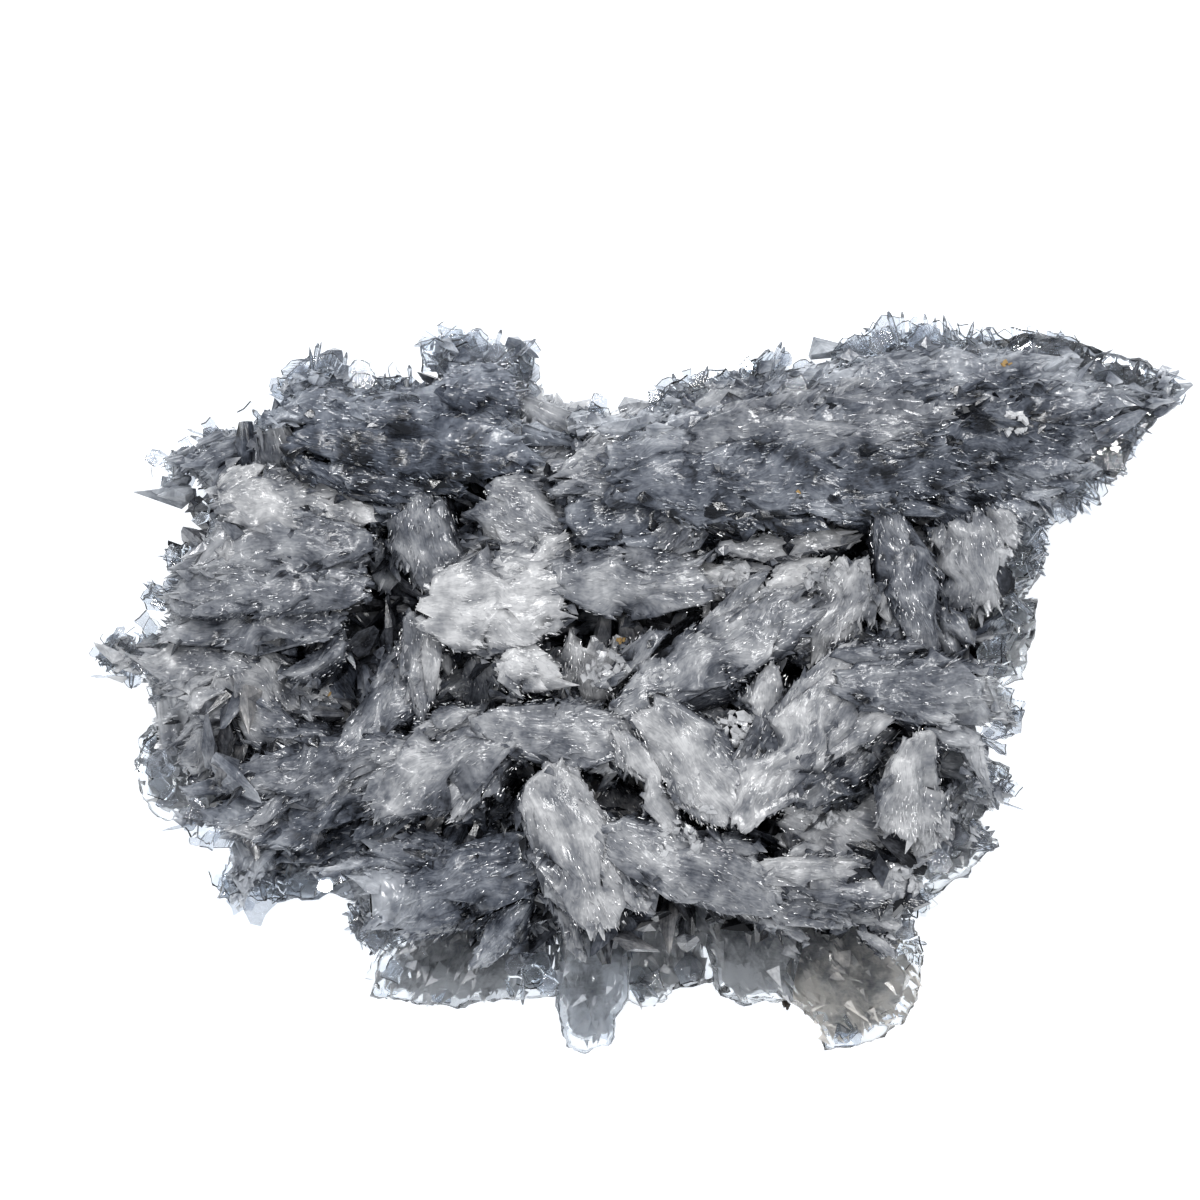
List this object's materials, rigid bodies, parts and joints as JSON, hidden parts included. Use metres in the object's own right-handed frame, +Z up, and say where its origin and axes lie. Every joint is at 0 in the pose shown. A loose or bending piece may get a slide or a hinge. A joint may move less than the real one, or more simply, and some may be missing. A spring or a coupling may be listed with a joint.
{
  "type": "barite crystal cluster",
  "caption": "Grown-together cluster of crested grey barite: ridges of upright tabular crystals over a flat contact face, with thin clear plates at its rim.",
  "frame": {"origin": "on the flat contact face, under the middle of the cluster's box", "axes": "+X towards the tip of the long feathered wing, +Z up from the contact face, out through the crests"},
  "size_m": [0.1403, 0.0941, 0.0385],
  "materials": {
    "barite": "glassy to pearly cloudy grey crystal, clear at its thin edges"
  },
  "bodies": {
    "root": {"barite_cluster": "barite"}
  },
  "joints": []
}
